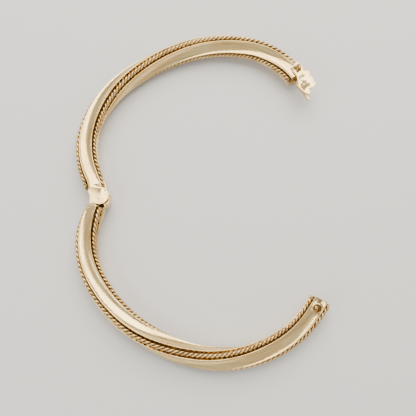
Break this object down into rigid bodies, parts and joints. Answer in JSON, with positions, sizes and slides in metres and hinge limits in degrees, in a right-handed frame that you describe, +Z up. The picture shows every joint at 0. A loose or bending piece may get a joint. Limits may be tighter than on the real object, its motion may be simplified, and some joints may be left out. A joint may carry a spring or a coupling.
{
  "type": "hinged bangle",
  "caption": "Open hinged bangle of hollow yellow gold tube, twisted, with channelled faces and twisted rope wire in the grooves between them, a pin hinge and a pierced snap clasp.",
  "frame": {"origin": "middle of the open bangle's outline, on the surface that it lies on", "axes": "+Z up, out of the flat side that faces the viewer; +Y toward the top of the picture, on the side of the half with the clasp plate; +X toward the open side, away from the hinge"},
  "size_m": [0.0703, 0.0958, 0.0071],
  "materials": {
    "polished_gold": "polished yellow gold with fine scratches",
    "rope_gold": "polished yellow gold wire with tarnish in its hollows",
    "spring_gold": "satin yellow gold strip",
    "pin_gold": "filed yellow gold wire"
  },
  "bodies": {
    "upper_half": {"upper_band": "polished_gold", "upper_rope_1": "rope_gold", "upper_rope_2": "rope_gold", "upper_rope_3": "rope_gold", "clasp_leaf": "spring_gold", "hinge_pin": "pin_gold"},
    "lower_half": {"lower_band": "polished_gold", "lower_rope_1": "rope_gold", "lower_rope_2": "rope_gold", "lower_rope_3": "rope_gold"}
  },
  "joints": [
    {"name": "hinge", "type": "hinge", "parent": "upper_half", "child": "lower_half", "pos_m": [-0.02779, -0.00202, 0.00337], "axis": [0, 0, 1], "range_deg": [-8, 56.3]}
  ]
}
